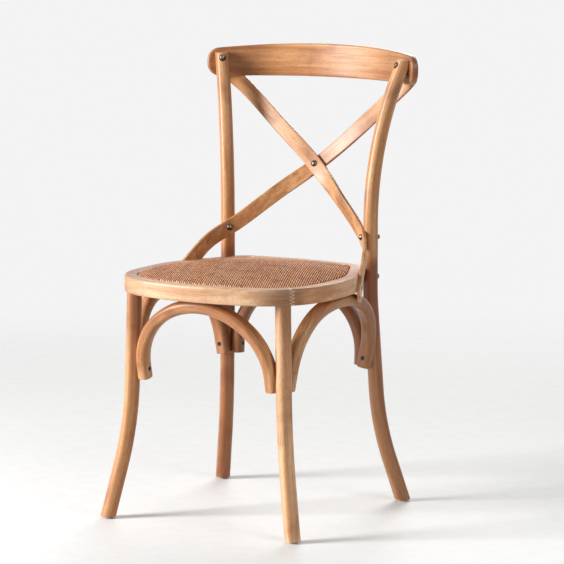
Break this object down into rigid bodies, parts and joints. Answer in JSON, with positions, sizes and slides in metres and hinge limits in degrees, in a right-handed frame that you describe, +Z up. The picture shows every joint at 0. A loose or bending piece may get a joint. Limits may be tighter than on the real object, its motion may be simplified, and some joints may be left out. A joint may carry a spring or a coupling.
{
  "type": "dining chair",
  "caption": "Bent wood cross back dining chair with a woven domed seat in a wood ring, a curved top rail and arched braces.",
  "frame": {"origin": "on the floor, in the middle of the chair's footprint box", "axes": "+X to the right as seen by a viewer who faces the chair's front, +Y to the rear, +Z up"},
  "size_m": [0.4714, 0.527, 0.876],
  "materials": {
    "oak": "satin lacquer",
    "plywood": "raw",
    "foam": "raw",
    "rattan": "woven, satin",
    "bronze": "antique",
    "screw_steel": "black",
    "glide": "matte"
  },
  "bodies": {
    "root": {"top_rail": "oak", "seat_ring_front": "oak", "seat_ring_rear": "oak", "seat_ring_right": "oak", "seat_ring_left": "oak", "cross_strap_front": "oak", "cross_strap_rear": "oak", "front_leg_right": "oak", "front_leg_left": "oak", "rear_leg_right": "oak", "rear_leg_left": "oak", "arch_front": "oak", "arch_rear": "oak", "arch_right": "oak", "arch_left": "oak", "seat_board": "plywood", "seat_pad": "foam", "seat_weave": "rattan", "cross_bolt": "bronze", "cross_nut": "bronze", "rail_bolts": "bronze", "rail_nuts": "bronze", "strap_bolts": "bronze", "strap_nuts": "bronze", "seat_bolts": "bronze", "strap_foot_screws": "screw_steel", "strap_upper_screws": "screw_steel", "arch_end_screws": "screw_steel", "arch_crown_screws": "screw_steel", "seat_board_screws": "screw_steel", "foot_glides": "glide"}
  },
  "joints": []
}
